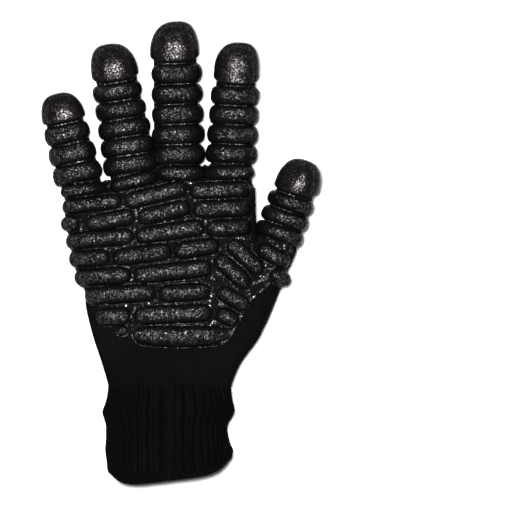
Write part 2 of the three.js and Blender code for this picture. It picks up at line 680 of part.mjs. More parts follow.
function build() {
  const glove = new THREE.Group();
  const add = (name, geometry, material) => {
    const mesh = new THREE.Mesh(geometry, MATERIALS[material]);
    mesh.name = name;
    glove.add(mesh);
  };

  add("knit_hand", toGeometry(handShell()), "knit");
  for (const finger of STALLS) add(`${finger.name}_stall`, stall(finger), "knit");

  const hemTop = HEM_LENGTH / wristY;
  const cuffEnd = 1 - (FIT_GAP / 2 + HEM_SLANT / 2) / wristY;
  const cuffStart = hemTop + FIT_GAP / wristY;
  const inner = CUFF_ROWS.map((row) => row.along).filter((a) => a > cuffStart && a < cuffEnd);
  add("rib_cuff", tube([cuffStart, ...inner, cuffEnd], 0, -KNIT_WALL), "cuff");
  add("cuff_hem", tube([0, hemTop / 2, hemTop], HEM_PROUD, -KNIT_WALL), "hem");

  for (const finger of STALLS) {
    add(`${finger.name}_sleeve`, sleeve(finger), "rubber");
    add(`${finger.name}_cap`, tipCap(finger), "rubber");
  }
  add("palm_skin", toGeometry(palmSkin()), "skin");

  // Pads are cut to the skin under them and kept clear of the sleeves past the knuckles.
  const foot = SKIN_THICKNESS + 2 * FIT_GAP;
  const carrier = wholeHand(foot, 0);
  const sleeves = STALLS.map((finger) => pastRoot(finger, FIT_GAP / 2));
  const seat = (pad) => {
    let cut = pad.subtract(carrier);
    for (const block of sleeves) cut = cut.subtract(block);
    return toGeometry(mainBody(cut));
  };
  const counts = {};
  for (const pad of PALM_PADS) {
    counts[pad.row] = (counts[pad.row] ?? 0) + 1;
    add(`palm_pad_${pad.row}_${counts[pad.row]}`, seat(rowPad(pad, foot)), "rubber");
  }
  THUMB_PADS.forEach((pad, i) => add(`thumb_pad_${i + 1}`, seat(thumbPad(pad, foot)), "rubber"));

  // The origin is under the middle of the glove, on the surface that it lies on.
  const box = new THREE.Box3().setFromObject(glove);
  glove.position.set(-(box.min.x + box.max.x) / 2, -(box.min.y + box.max.y) / 2, -box.min.z);
  return glove;
}

const glove = build();
export default glove;
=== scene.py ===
# The looks of an anti-vibration work glove for the right hand, lying on its back, palm up.
# Shapes are worked out in millimetres, from the cuff's axis and mouth, and then placed.
import math
import random
from dataclasses import dataclass

import bmesh
import bpy
from mathutils import Matrix, Vector, noise
from mathutils.bvhtree import BVHTree


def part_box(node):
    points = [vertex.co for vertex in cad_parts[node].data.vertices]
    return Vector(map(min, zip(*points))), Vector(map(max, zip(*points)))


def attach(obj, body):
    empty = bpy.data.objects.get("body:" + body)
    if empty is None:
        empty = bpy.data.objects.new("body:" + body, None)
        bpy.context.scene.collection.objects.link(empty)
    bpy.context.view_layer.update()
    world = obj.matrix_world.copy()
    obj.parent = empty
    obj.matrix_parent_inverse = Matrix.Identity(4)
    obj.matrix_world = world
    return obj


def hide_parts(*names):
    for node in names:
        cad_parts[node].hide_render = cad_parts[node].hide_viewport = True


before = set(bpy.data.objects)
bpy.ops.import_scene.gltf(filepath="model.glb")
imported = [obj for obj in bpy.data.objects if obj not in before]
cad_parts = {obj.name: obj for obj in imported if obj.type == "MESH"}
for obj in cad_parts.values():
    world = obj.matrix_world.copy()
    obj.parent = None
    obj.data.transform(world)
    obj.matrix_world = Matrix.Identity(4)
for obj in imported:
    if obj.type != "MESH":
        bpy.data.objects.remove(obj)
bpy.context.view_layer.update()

# Where the cuff's axis and mouth lie in the frame
MM = 0.001
cuff_low, cuff_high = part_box("rib_cuff")
hem_low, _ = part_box("cuff_hem")
TO_FRAME = (
    Matrix.Translation(((cuff_low.x + cuff_high.x) / 2, hem_low.y, 0)) @ Matrix.Scale(MM, 4)
)

# Sizes and shares that the solids have too
KNIT_WALL = 2.0
SKIN = 0.9
FIT_GAP = 0.3
CUFF_LENGTH = 57.0
CUFF_WIDTH = 69.5
CUFF_THICKNESS = 24.0
HEM_LENGTH = 5.5
HEM_SLANT = 4.0
HEM_CORNER_RISE = 8.5
PALM_LENGTH = 114.8
PALM_THICKNESS = 27.0
KNUCKLE_THICKNESS = 20.5
KNUCKLE_SLANT = 8.0
KNUCKLES_OFF_AXIS = 6.95
CROTCH_GAP = 1.5
STALL_STANDOFF = 1.5
REST_FLAT = 1.2
RIB_HEIGHT = 4.2
CAP_PAD = 3.6
CAP_BACK = 1.0
CAP_BACK_REACH = 11.0
PAD_WIDTH = 9.0
PAD_HEIGHT = 5.2

FINGER_SQUARE = 2.3
PALM_SQUARE = 3.0
FINGER_FLAT = 0.84
TIP_THINNING = 0.9
CURL_LATENESS = 0.8
ROLL_CLEARANCE = 0.75
DOME_FULLNESS = 0.76
DOME_LONG = 1.3
CROWN_FULLNESS = 0.6
CAP_EDGE_FULLNESS = 0.7

THUMB_HEEL_OUT = 11.2
THUMB_HEEL_WIDTH = 16.2
THUMB_HEEL_ALONG = 0.3275
THUMB_HEEL_TO_ROOT = 0.4007


@dataclass
class Finger:
    """A finger's sizes in millimetres, its angles in degrees and how many ribs it has."""
    name: str
    length: float
    width: float
    tip_width: float
    thickness: float
    root_out: float
    lean: float
    roll: float
    curl: float
    cap: float
    ribs: int
    little_side: float
    thumb_side: float
    rib_from: float
    rib_to: float
    behind: float = 16.0
    root: Vector = None
    deep_width: float = None
    deep_thickness: float = None


# The last two are the angles where ribs end, first on the thumb's side of a finger
FINGERS = [
    Finger("little", 50, 20.9, 18.5, 18, 3.3, -12.6, 0, 5, 15.4, 3, 1.1, 0.6, 10, 184),
    Finger("ring", 72.2, 22.8, 21.3, 19.5, 5.1, -8.6, 0, 6, 20, 5, 1.8, 0.6, 12, 212),
    Finger("middle", 79, 22.9, 23, 20, 5, -2.4, 0, 6, 21.6, 5, 0.6, 2.6, -32, 164),
    Finger("index", 66.6, 21.7, 19.7, 19.5, 0.4, 2.8, 0, 5, 22.6, 4, 1.4, 1.1, -14, 208),
]
THUMB = Finger("thumb", 46.4, 22.5, 20, 19.5, 0, 19.5, -24, 4, 19, 3, 1.2, 1.2, -20, 196)
ALL_FINGERS = [*FINGERS, THUMB]

# How much fuller a finger looks than its solid, at its root and at its tip: first on the
# little finger's side and then on the thumb's side
FULLER = {
    "little": ((1.3, 1.8), (1.2, -0.7)),
    "ring": ((0.3, 0.2), (3.6, 0.0)),
    "middle": ((2.6, 0.2), (-0.6, -0.5)),
    "index": ((2.2, 1.2), (-0.5, -0.5)),
    "thumb": ((0.0, 0.0), (0.0, 0.0)),
}

# How far a finger's dome bends to the thumb's side
TIP_BEND = {"little": -1.6, "ring": -1.8, "middle": 1.2, "index": 0.9, "thumb": 0.5}

# Along, little finger's edge, thumb's edge, bulge
PALM_ROWS = [
    (0, 0, 0, 0),
    (0.11, 0.135, 0.38, 0.2),
    (0.25, 0.32, 1.17, 0.6),
    (0.4, 0.46, 1.5, 0.9),
    (0.47, 0.467, 1.44, 1),
    (0.55, 0.59, 1.27, 1),
    (0.64, 0.677, 1.02, 0.95),
    (0.8, 0.797, 0.93, 0.8),
    (0.93, 0.88, 0.915, 0.4),
    (1, 0.955, 0.893, 0),
]

# Along from the mouth, swell on the little finger's side, swell on the thumb's side
CUFF_ROWS = [
    (0, -0.01, -0.02),
    (0.14, 0.01, 0.01),
    (0.27, 0.03, -0.035),
    (0.44, 0.02, -0.075),
    (0.56, 0.03, -0.055),
    (0.63, 0.055, 0),
    (0.7, 0.085, 0.04),
    (0.83, 0, 0),
    (1, 0, -0.03),
]

# Across as a share of the knuckles' width, along as a share of the palm
SKIN_EDGE = [
    (-0.56, 0.49),
    (-0.504, 0.483),
    (-0.433, 0.468),
    (-0.367, 0.355),
    (-0.352, 0.296),
    (-0.261, 0.256),
    (-0.2, 0.217),
    (0.079, 0.188),
    (0.291, 0.202),
    (0.347, 0.281),
    (0.398, 0.38),
    (0.499, 0.478),
    (0.611, 0.576),
    (0.788, 0.665),
]

# Row, where a pad starts and ends, each across and along, how wide it is as a share of
# PAD_WIDTH, and how far its middle sags in millimetres
PALM_PADS = [
    (0, -0.552, 0.948, -0.334, 0.980, 0.76, 0),
    (0, -0.314, 0.973, -0.056, 1.037, 0.82, 0),
    (0, -0.046, 1.041, 0.195, 1.046, 0.9, 0),
    (0, 0.203, 1.044, 0.426, 1.049, 0.9, 0),
    (1, -0.549, 0.874, -0.246, 0.909, 0.92, 0),
    (1, -0.233, 0.899, 0.094, 0.973, 1, 0),
    (1, 0.104, 0.953, 0.408, 0.965, 1, 0),
    (2, -0.523, 0.795, -0.454, 0.798, 0.95, 0),
    (2, -0.423, 0.788, -0.177, 0.835, 1, 0),
    (2, -0.160, 0.820, 0.106, 0.879, 1, 0),
    (2, 0.119, 0.864, 0.408, 0.874, 1.02, 0),
    (3, -0.512, 0.709, -0.182, 0.736, 1, 0),
    (3, -0.172, 0.731, 0.177, 0.781, 1, 0),
    (3, 0.185, 0.768, 0.408, 0.781, 1, 0),
    (4, -0.496, 0.621, -0.302, 0.631, 1, 0),
    (4, -0.289, 0.626, 0.010, 0.663, 1.02, 0),
    (4, 0.020, 0.658, 0.253, 0.692, 1, 0),
    (5, -0.475, 0.530, -0.198, 0.544, 1.02, 0),
    (5, -0.185, 0.539, 0.213, 0.581, 1.03, 0),
    (6, -0.420, 0.441, -0.073, 0.458, 1.04, 0),
    (6, -0.058, 0.448, 0.208, 0.466, 1.02, 0),
    (7, -0.370, 0.338, -0.195, 0.343, 1.08, 0),
    (7, -0.180, 0.343, 0.215, 0.360, 1.06, 0),
    (8, -0.276, 0.271, -0.208, 0.271, 0.62, 0),
    (8, -0.190, 0.257, 0.304, 0.259, 1.18, 2.1),
]

# Across, along, length as a share of the knuckles' width, slope in degrees, width as above
THUMB_PADS = [
    (0.288, 0.339, 0.122, -22, 0.98),
    (0.317, 0.429, 0.182, -30, 0.96),
    (0.312, 0.562, 0.223, -43, 1),
    (0.378, 0.631, 0.233, -43, 1),
    (0.519, 0.64, 0.152, -30, 0.96),
    (0.55, 0.532, 0.101, -30, 0.9),
]


def mix(a, b, share):
    return a + (b - a) * share


def clamp(value, low=0.0, high=1.0):
    return max(low, min(high, value))


def smooth_step(low, high, value):
    share = clamp((value - low) / (high - low))
    return share * share * (3 - 2 * share)


def squared(value, square):
    """A sine or cosine on a squarer round: a square of 2 leaves it as it is."""
    return math.copysign(abs(value) ** (2 / square), value)


def between(rows, along, column):
    """A column of a table at a place between its rows, on a smooth curve."""
    last = len(rows) - 2
    i = 0
    while i < last and rows[i + 1][0] < along:
        i += 1
    (x0, y0), (x1, y1) = ((rows[k][0], rows[k][column]) for k in (i, i + 1))
    slope = (y1 - y0) / (x1 - x0)
    before = slope if i == 0 else (y1 - rows[i - 1][column]) / (x1 - rows[i - 1][0])
    after = slope if i == last else (rows[i + 2][column] - y0) / (rows[i + 2][0] - x0)
    t = clamp((along - x0) / (x1 - x0))
    h = x1 - x0
    return (
        (2 * t**3 - 3 * t**2 + 1) * y0
        + (t**3 - 2 * t**2 + t) * h * before
        + (3 * t**2 - 2 * t**3) * y1
        + (t**3 - t**2) * h * after
    )


# The hand's sections
def sleeve_width(f):
    return f.width + 2 * (FIT_GAP + SKIN) + f.little_side + f.thumb_side


KNUCKLE_WIDTH = sum(sleeve_width(f) for f in FINGERS) + 3 * CROTCH_GAP
LITTLE_EDGE = -KNUCKLE_WIDTH / 2 - KNUCKLES_OFF_AXIS
THUMB_EDGE = LITTLE_EDGE + KNUCKLE_WIDTH


def palm_section(along):
    """The middle, the half width and the half thickness of the hand."""
    along = clamp(along)
    little = mix(-CUFF_WIDTH / 2, LITTLE_EDGE, between(PALM_ROWS, along, 1))
    thumb = mix(CUFF_WIDTH / 2, THUMB_EDGE, between(PALM_ROWS, along, 2))
    taper = mix(CUFF_THICKNESS, KNUCKLE_THICKNESS, along)
    thickness = mix(taper, PALM_THICKNESS, between(PALM_ROWS, along, 3))
    return (little + thumb) / 2, (thumb - little) / 2, thickness / 2


def knuckle_shift(along, across):
    """How far the knuckles' slant moves a point along the hand."""
    return KNUCKLE_SLANT * across * max(along, 0) ** 3


def palm_point(along, angle, offset):
    """A point of the hand: angle 90 is the middle of the palm, 270 the middle of the back."""
    centre, half, rise = palm_section(along)
    across = squared(math.cos(math.radians(angle)), PALM_SQUARE)
    up = squared(math.sin(math.radians(angle)), PALM_SQUARE)
    return Vector((
        centre + (half + offset) * across,
        CUFF_LENGTH + PALM_LENGTH * along + knuckle_shift(along, across),
        max(rise - REST_FLAT + (rise + offset) * up, -offset),
    ))


def place_fingers():
    edge = LITTLE_EDGE
    for f in FINGERS:
        x = edge + (sleeve_width(f) + f.little_side - f.thumb_side) / 2
        edge += sleeve_width(f) + CROTCH_GAP
        across = 2 * (x - LITTLE_EDGE) / KNUCKLE_WIDTH - 1
        slope = KNUCKLE_SLANT / (KNUCKLE_WIDTH / 2)
        clear = abs(math.tan(math.radians(f.lean)) + slope) * f.width / 2
        line = CUFF_LENGTH + PALM_LENGTH + knuckle_shift(1, across)
        f.root = Vector((x, line + STALL_STANDOFF + clear + f.root_out, 0))
        f.deep_width = f.width
        f.deep_thickness = f.thickness
    lean = math.radians(THUMB.lean)
    THUMB.behind = PALM_LENGTH * THUMB_HEEL_TO_ROOT
    heel = Vector((
        CUFF_WIDTH / 2 + THUMB_HEEL_OUT, CUFF_LENGTH + PALM_LENGTH * THUMB_HEEL_ALONG, 0
    ))
    THUMB.root = heel + Vector((math.sin(lean), math.cos(lean), 0)) * THUMB.behind
    THUMB.deep_width = THUMB_HEEL_WIDTH
    THUMB.deep_thickness = PALM_THICKNESS - REST_FLAT


place_fingers()


def dome_length(f):
    return f.tip_width / 2 * DOME_LONG


def straight_length(f):
    return f.length - dome_length(f)


def finger_section(f, distance):
    """The half width, half thickness and lift of a finger at a distance from its root."""
    share = distance / straight_length(f)
    if share < 0:
        back = min(1, -distance / f.behind)
        return (
            mix(f.width, f.deep_width, back) / 2,
            mix(f.thickness, f.deep_thickness, back) / 2,
            0,
        )
    share = min(share, 1)
    return (
        mix(f.width, f.tip_width, share) / 2,
        f.thickness / 2 * mix(1, TIP_THINNING, share),
        f.curl * mix(share, max(0, 2 * share - 1), CURL_LATENESS),
    )


def roll_lift(f):
    """How far a finger that is rolled to its side rises, so that it stays off the floor."""
    turned = abs(math.sin(math.radians(f.roll)))
    return turned * (f.width - f.thickness * FINGER_FLAT) * ROLL_CLEARANCE


def to_glove(f, local, height):
    rolled = Matrix.Rotation(math.radians(f.roll), 3, "Y") @ local
    rolled.z += height + roll_lift(f)
    return Matrix.Rotation(math.radians(-f.lean), 3, "Z") @ rolled + f.root


def to_finger(f, point):
    """A point in a finger's own frame: to the side, along from the root, and up."""
    local = Matrix.Rotation(math.radians(f.lean), 3, "Z") @ (point - f.root)
    _, rise, lift = finger_section(f, local.y)
    local.z -= rise * FINGER_FLAT + lift + roll_lift(f)
    return Matrix.Rotation(math.radians(-f.roll), 3, "Y") @ local


def finger_point(f, station, angle, offset):
    """Station is 0 at the root, 1 where the tip's dome starts and 2 at its pole."""
    dome = math.radians(90 * max(0, station - 1))
    distance = min(station, 1) * straight_length(f)
    half, rise, lift = finger_section(f, distance)
    shrink = max(math.cos(dome), 0) ** DOME_FULLNESS
    cosine = squared(math.cos(math.radians(angle)), FINGER_SQUARE)
    sine = squared(math.sin(math.radians(angle)), FINGER_SQUARE)
    root, tip = FULLER[f.name][0 if cosine < 0 else 1]
    side = mix(root, tip, clamp(station)) * clamp(1 + distance / f.behind)
    across = (half + offset + side) * cosine * shrink
    up = max((rise + offset) * sine, -(rise * FINGER_FLAT + offset)) * shrink
    across += TIP_BEND[f.name] * math.sin(dome) ** 2
    y = distance + (dome_length(f) + offset) * math.sin(dome)
    return to_glove(f, Vector((across, y, up)), rise * FINGER_FLAT + lift)


def station_at(f, distance):
    straight = straight_length(f)
    if distance <= straight:
        return distance / straight
    share = min(1, (distance - straight) / dome_length(f))
    return 1 + math.asin(share) * 2 / math.pi


# Meshes
MERGE_DISTANCE = 0.002


def shaped_grid(bm, across, along, place):
    """A grid whose points are placed by a function of two shares from 0 to 1."""
    made = bmesh.ops.create_grid(bm, x_segments=across, y_segments=along, size=0.5)["verts"]
    for vert in made:
        vert.co = place(clamp(vert.co.x + 0.5), clamp(vert.co.y + 0.5))
    return made


def close_up(bm):
    bmesh.ops.remove_doubles(bm, verts=bm.verts, dist=MERGE_DISTANCE)
    bmesh.ops.recalc_face_normals(bm, faces=bm.faces)


def use_second_material(verts):
    for face in {face for vert in verts for face in vert.link_faces}:
        face.material_index = 1


def mesh_from(name, bm):
    mesh = bpy.data.meshes.new(name)
    bm.to_mesh(mesh)
    bm.free()
    return mesh


def new_object(name, data):
    made = bpy.data.objects.new(name, data)
    bpy.context.scene.collection.objects.link(made)
    return made


def piece_of(name, bm, materials, nodes):
    """Places a mesh in the frame as a piece that rides the glove and stands for CAD nodes."""
    bm.transform(TO_FRAME)
    mesh = mesh_from(name, bm)
    mesh.shade_smooth()
    for material in materials:
        mesh.materials.append(material)
    piece = new_object(name, mesh)
    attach(piece, "root")
    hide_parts(*nodes)
    return piece


def add_wall(piece, thickness):
    """Thickens a skin inwards; a second material, where there is one, goes inside."""
    wall = piece.modifiers.new("Wall", "SOLIDIFY")
    wall.thickness = thickness * MM
    wall.offset = -1
    wall.use_even_offset = False
    wall.material_offset = len(piece.data.materials) - 1


def add_smoothing(piece, levels=1):
    smoothing = piece.modifiers.new("Smoothing", "SUBSURF")
    smoothing.levels = levels
    smoothing.render_levels = levels


# The glove's own form, which every piece follows
FORM_VOXEL = 1.25
FORM_ROUNDS = 10
WRIST_OVERRUN = 16.0
KNUCKLE_OVERRUN = 1.02
END_STEEPNESS = 12
ROOT_SHARE = 0.04
PALM_GRID = (64, 60)
FINGER_GRID = (32, 50)


def glove_form():
    """The hand and its fingers as one smooth closed mesh, in millimetres."""
    bm = bmesh.new()

    def palm(across, along):
        share = mix(-WRIST_OVERRUN / PALM_LENGTH, KNUCKLE_OVERRUN, along)
        size = min(1, END_STEEPNESS * along, END_STEEPNESS * (1 - along))
        point = palm_point(share, 360 * across, 0)
        centre = palm_point(share, 90, 0)
        middle = Vector((palm_section(share)[0], centre.y, centre.z / 2))
        return middle + (point - middle) * math.sqrt(size)

    shaped_grid(bm, *PALM_GRID, palm)
    for f in ALL_FINGERS:
        back = -f.behind / straight_length(f)

        def finger(across, along):
            if along < ROOT_SHARE:
                point = finger_point(f, back, 360 * across, 0)
                top = finger_point(f, back, 90, 0)
                low = finger_point(f, back, 270, 0)
                return mix(Vector((top + low) / 2), point, along / ROOT_SHARE)
            station = mix(back, 2, (along - ROOT_SHARE) / (1 - ROOT_SHARE))
            return finger_point(f, station, 360 * across, 0)

        shaped_grid(bm, *FINGER_GRID, finger)
    close_up(bm)
    rough = new_object("form", mesh_from("form", bm))
    remesh = rough.modifiers.new("Whole", "REMESH")
    remesh.mode = "VOXEL"
    remesh.voxel_size = FORM_VOXEL
    bpy.context.view_layer.update()
    whole = bmesh.new()
    whole.from_object(rough, bpy.context.evaluated_depsgraph_get())
    bpy.data.objects.remove(rough)
    for _ in range(FORM_ROUNDS):
        bmesh.ops.smooth_vert(
            whole, verts=whole.verts, factor=0.5, use_axis_x=True, use_axis_y=True, use_axis_z=True
        )
    for vert in whole.verts:
        vert.co.z = max(vert.co.z, 0)
    whole.normal_update()
    return whole


form = glove_form()
form_tree = BVHTree.FromBMesh(form)
FORM_REACH = 15


def onto_form(point, outward):
    """The form's surface and normal where a line through a point, from outside, meets it."""
    start = point + outward * FORM_REACH
    hit, normal, _, _ = form_tree.ray_cast(start, -outward, 2 * FORM_REACH)
    if hit is None:
        hit, normal, _, _ = form_tree.find_nearest(point)
    return hit, normal


# Places on the knit, so that the stitches run up the hand and then up each finger
WALE = 2.0
COURSE = 1.6
SIDE_SHARE = 0.8
SEAM_JUMP = 30
# How far below a finger's root and how far beside it the stitches turn from the hand's
FINGER_TURN = (15, 4)
THUMB_TURN = (38, 9)


def unrolled(side, up, half, rise):
    """How far round a section a point lies from the middle of its palm side."""
    if up >= 0:
        length = abs(side) + SIDE_SHARE * (rise - up)
    else:
        length = half + SIDE_SHARE * rise - SIDE_SHARE * up + max(0, half - abs(side))
    return math.copysign(length, side)


def knit_place(point):
    """Where a point lies on the knit laid flat, across and along in millimetres."""
    along = (point.y - CUFF_LENGTH) / PALM_LENGTH
    centre, half, rise = palm_section(along)
    across = centre + unrolled(point.x - centre, point.z - rise + REST_FLAT, half, rise)
    place = Vector((across, point.y))
    best_weight, best_place = 0, place
    for f in ALL_FINGERS:
        local = to_finger(f, point)
        half, rise, _ = finger_section(f, local.y)
        below, beside = THUMB_TURN if f is THUMB else FINGER_TURN
        weight = smooth_step(-below, 1, local.y)
        weight *= 1 - smooth_step(half, half + beside, abs(local.x))
        if weight > best_weight:
            round_finger = f.root.x + unrolled(local.x, local.z, half, rise)
            best_weight, best_place = weight, Vector((round_finger, f.root.y + local.y))
    return place.lerp(best_place, best_weight)


def lay_knit_map(bm):
    """UVs that count wales across and courses along."""
    layer = bm.loops.layers.uv.new("UVMap")
    places = [knit_place(v.co) for v in bm.verts]
    bm.verts.index_update()
    for face in bm.faces:
        first = places[face.loops[0].vert.index].x
        for loop in face.loops:
            across, along = places[loop.vert.index]
            if abs(across - first) > SEAM_JUMP:
                across = first
            loop[layer].uv = (across / WALE, along / COURSE)


# Materials
def socket(node, name, value):
    target = node.inputs[name]
    if isinstance(value, bpy.types.NodeSocket):
        node.id_data.links.new(value, target)
    else:
        target.default_value = value


class Finish:
    """A material's nodes, built one after another."""

    def __init__(self, name):
        self.material = bpy.data.materials.new(name)
        self.material.use_nodes = True
        self.tree = self.material.node_tree
        self.tree.nodes.clear()
        self.shader = self.add("ShaderNodeBsdfPrincipled")
        output = self.add("ShaderNodeOutputMaterial")
        self.tree.links.new(self.shader.outputs[0], output.inputs[0])

    def add(self, kind, values=None, **settings):
        made = self.tree.nodes.new(kind)
        for name, value in settings.items():
            setattr(made, name, value)
        for name, value in (values or {}).items():
            socket(made, name, value)
        return made

    def maths(self, operation, a, b=0.0, c=0.0):
        made = self.add("ShaderNodeMath", {0: a, 1: b, 2: c}, operation=operation)
        return made.outputs[0]

    def times(self, a, b):
        return self.maths("MULTIPLY", a, b)

    def place(self):
        return self.add("ShaderNodeTexCoord").outputs["Object"]

    def noise(self, size, detail=2.0, roughness=0.5):
        """Noise whose lumps are about size millimetres wide."""
        made = self.add("ShaderNodeTexNoise", {
            "Vector": self.place(), "Scale": 1 / (size * MM),
            "Detail": detail, "Roughness": roughness,
        })
        return made.outputs["Fac"]

    def cells(self, size):
        """Round cells of a size in millimetres: how far from their middles, and a chance."""
        made = self.add("ShaderNodeTexVoronoi", {
            "Vector": self.place(), "Scale": 1 / (size * MM),
        })
        return made.outputs["Distance"], made.outputs["Color"]

    def ramp(self, value, low, high, start=0.0, end=1.0):
        """Goes from start to end as a value goes from low to high."""
        made = self.add("ShaderNodeMapRange", {
            "Value": value, "From Min": low, "From Max": high, "To Min": start, "To Max": end,
        })
        return made.outputs["Result"]

    def blend(self, share, a, b):
        made = self.add("ShaderNodeMix", data_type="RGBA")
        socket(made, 0, share)
        socket(made, 6, a)
        socket(made, 7, b)
        return made.outputs[2]

    def bump(self, height, depth, strength=1.0, under=None):
        """Relief of a depth in millimetres, over the relief that is under it."""
        values = {"Height": height, "Distance": depth * MM, "Strength": strength}
        if under is not None:
            values["Normal"] = under
        return self.add("ShaderNodeBump", values).outputs[0]

    def finish(self, **values):
        for name, value in values.items():
            socket(self.shader, name.replace("_", " "), value)
        return self.material


def shine_with_painted_dark_edges(look, shine):
    """Gloss that fades where a surface turns away from the camera: painted shade that takes the
    floor's reflection off the edges, so they stay dark.
    """
    facing = look.add("ShaderNodeLayerWeight", {"Blend": 0.5}).outputs["Facing"]
    return look.times(look.ramp(facing, 0.1, 0.4, start=1.0, end=0.05), shine)


# The knit's look
WALE_WANDER = 0.7
COURSE_WANDER = 2.5
LOOP_SLANT = -1.3
LOOP_SWING = 0.38
# How far from the wrist's line the cuff's and the hand's shades blend, in metres
CUFF_BLEND = 0.01
HAND_BLEND = 0.012
# How high the greyer, lighter yarn of the back reaches up the sides, in metres: partly the back's
# own grey yarn, partly painted light that lifts the shade near the floor
GREY_LOW, GREY_HIGH = 0.005, 0.015
GREY_YARN_WITH_PAINTED_LIGHT = (0.055, 0.057, 0.07, 1)


def stitch_places(look):
    """Which wale and which course a point lies in, as counts that wander a little."""
    uv = look.add("ShaderNodeUVMap", uv_map="UVMap").outputs[0]
    parts = look.add("ShaderNodeSeparateXYZ", {0: uv})
    wander = look.noise(11)
    return (
        look.maths("MULTIPLY_ADD", wander, WALE_WANDER, parts.outputs[0]),
        look.maths("MULTIPLY_ADD", wander, COURSE_WANDER, parts.outputs[1]),
    )


def stitch_height(look):
    """Plain knit: each wale is a ridge of Vs, with a deep groove to the next."""
    wales, courses = stitch_places(look)
    across = look.maths("FRACT", wales)
    out = look.maths("ABSOLUTE", look.maths("SUBTRACT", across, 0.5))
    ridge = look.maths("COSINE", look.times(out, math.pi))
    ridge = look.maths("POWER", look.maths("MAXIMUM", ridge, 0.0), 0.8)
    ridge = look.times(ridge, look.ramp(out, 0.0, 0.12, start=0.6))
    slant = look.maths("MULTIPLY_ADD", out, LOOP_SLANT, courses)
    loop = look.maths("COSINE", look.times(slant, 2 * math.pi))
    return look.times(ridge, look.maths("MULTIPLY_ADD", loop, LOOP_SWING, 1 - LOOP_SWING))


def knit(name, dark, light, depth, ribbed=0.0):
    """Knitted yarn, with painted shade in the grooves between its stitches, and in the grooves
    between ribs the more ribbed it is.
    """
    look = Finish(name)
    height = stitch_height(look)
    fuzz = look.noise(0.28, 3, 0.7)
    lumps = look.noise(7)
    patches = look.noise(28, 3)
    # Painted shade: the yarn is darker down in the stitches' grooves; random patches and fuzz vary
    # its tone too
    shade = look.maths("MULTIPLY_ADD", height, 0.9, look.times(fuzz, 0.25))
    shade = look.times(shade, look.ramp(patches, 0.3, 0.7, start=0.7, end=1.2))
    place = look.add("ShaderNodeSeparateXYZ", {0: look.place()})
    along, up = place.outputs[1], place.outputs[2]
    wrist = cuff_high.y
    if ribbed:
        # Painted shade in the grooves between the cuff's ribs, fading out near the hand
        rib = look.maths("COSINE", look.times(stitch_places(look)[0], math.pi))
        groove = look.ramp(rib, -1.0, 0.4, start=1 - ribbed)
        near_hand = look.ramp(along, wrist - CUFF_BLEND, wrist, end=0.85)
        shade = look.times(shade, look.maths("MAXIMUM", groove, near_hand))
    else:
        shade = look.times(shade, look.ramp(along, wrist, wrist + HAND_BLEND, start=0.7))
    # Lighter yarn low down: partly the back's own grey, partly painted light in the shade near the
    # floor
    low = look.ramp(up, GREY_LOW, GREY_HIGH, start=1.0, end=0.0)
    yarn = look.blend(low, (*light, 1), GREY_YARN_WITH_PAINTED_LIGHT)
    colour = look.blend(shade, (*dark, 1), yarn)
    surface = look.bump(fuzz, 0.12, strength=0.8)
    surface = look.bump(height, depth, under=surface)
    surface = look.bump(lumps, 0.5, strength=0.5, under=surface)
    return look.finish(
        Base_Color=colour, Roughness=0.88, Specular_IOR_Level=shine_with_painted_dark_edges(look, 0.015),
        Normal=surface, Sheen_Weight=0.006, Sheen_Roughness=0.5,
        Sheen_Tint=(0.5, 0.52, 0.6, 1),
    )


# The rubber's look
LIGHTER_RUBBER = 1.7
GLINT_GAIN = 3.2
GLINT_LEAST = 0.12
# Where across the glove, in metres, the coating's rim starts to shine towards the thumb
SHINY_RIM_FROM, SHINY_RIM_TO = 0.012, 0.02


def grains(look, size, depth, under):
    """Small round grains that catch the light, and how much each of them shines."""
    far, chance = look.cells(size)
    domes = look.maths("SUBTRACT", 1.0, look.times(far, far))
    uneven = look.noise(size * 2.2)
    domes = look.times(domes, look.ramp(uneven, 0.3, 0.65, start=0.55, end=1.15))
    glint = look.maths("POWER", look.ramp(chance, 0.2, 0.85), 2.0)
    glint = look.maths("MULTIPLY_ADD", glint, GLINT_GAIN, GLINT_LEAST)
    return look.bump(domes, depth, under=under), glint


def rubber(name, base, rough, grain, grain_depth, shine):
    """Moulded rubber: near black, with a fine grain that breaks up its highlights."""
    look = Finish(name)
    tone = look.ramp(look.noise(9, 3), 0.35, 0.7)
    colour = look.blend(tone, (*base, 1), (*(c * LIGHTER_RUBBER for c in base), 1))
    surface = look.bump(look.noise(6), 0.35, strength=0.5)
    surface, glint = grains(look, grain, grain_depth, surface)
    uneven = look.noise(2.2, 3, 0.6)
    gloss = look.ramp(uneven, 0.3, 0.75, start=rough - 0.06, end=rough + 0.1)
    return look.finish(
        Base_Color=colour, Roughness=gloss,
        Specular_IOR_Level=shine_with_painted_dark_edges(look, look.times(glint, shine)),
        Specular_Tint=(1.0, 0.93, 0.98, 1), Normal=surface,
    )


def shiny_rim(look, inside):
    """The bead of rubber along the coating's border on the thumb's side."""
    rim = look.times(look.ramp(inside, 0.2, 0.8), look.ramp(inside, 1.3, 2.4, 1.0, 0.0))
    rim = look.times(rim, look.ramp(look.noise(5), 0.44, 0.56))
    side = look.add("ShaderNodeSeparateXYZ", {0: look.place()}).outputs[0]
    return look.times(rim, look.ramp(side, SHINY_RIM_FROM, SHINY_RIM_TO, start=0.1))


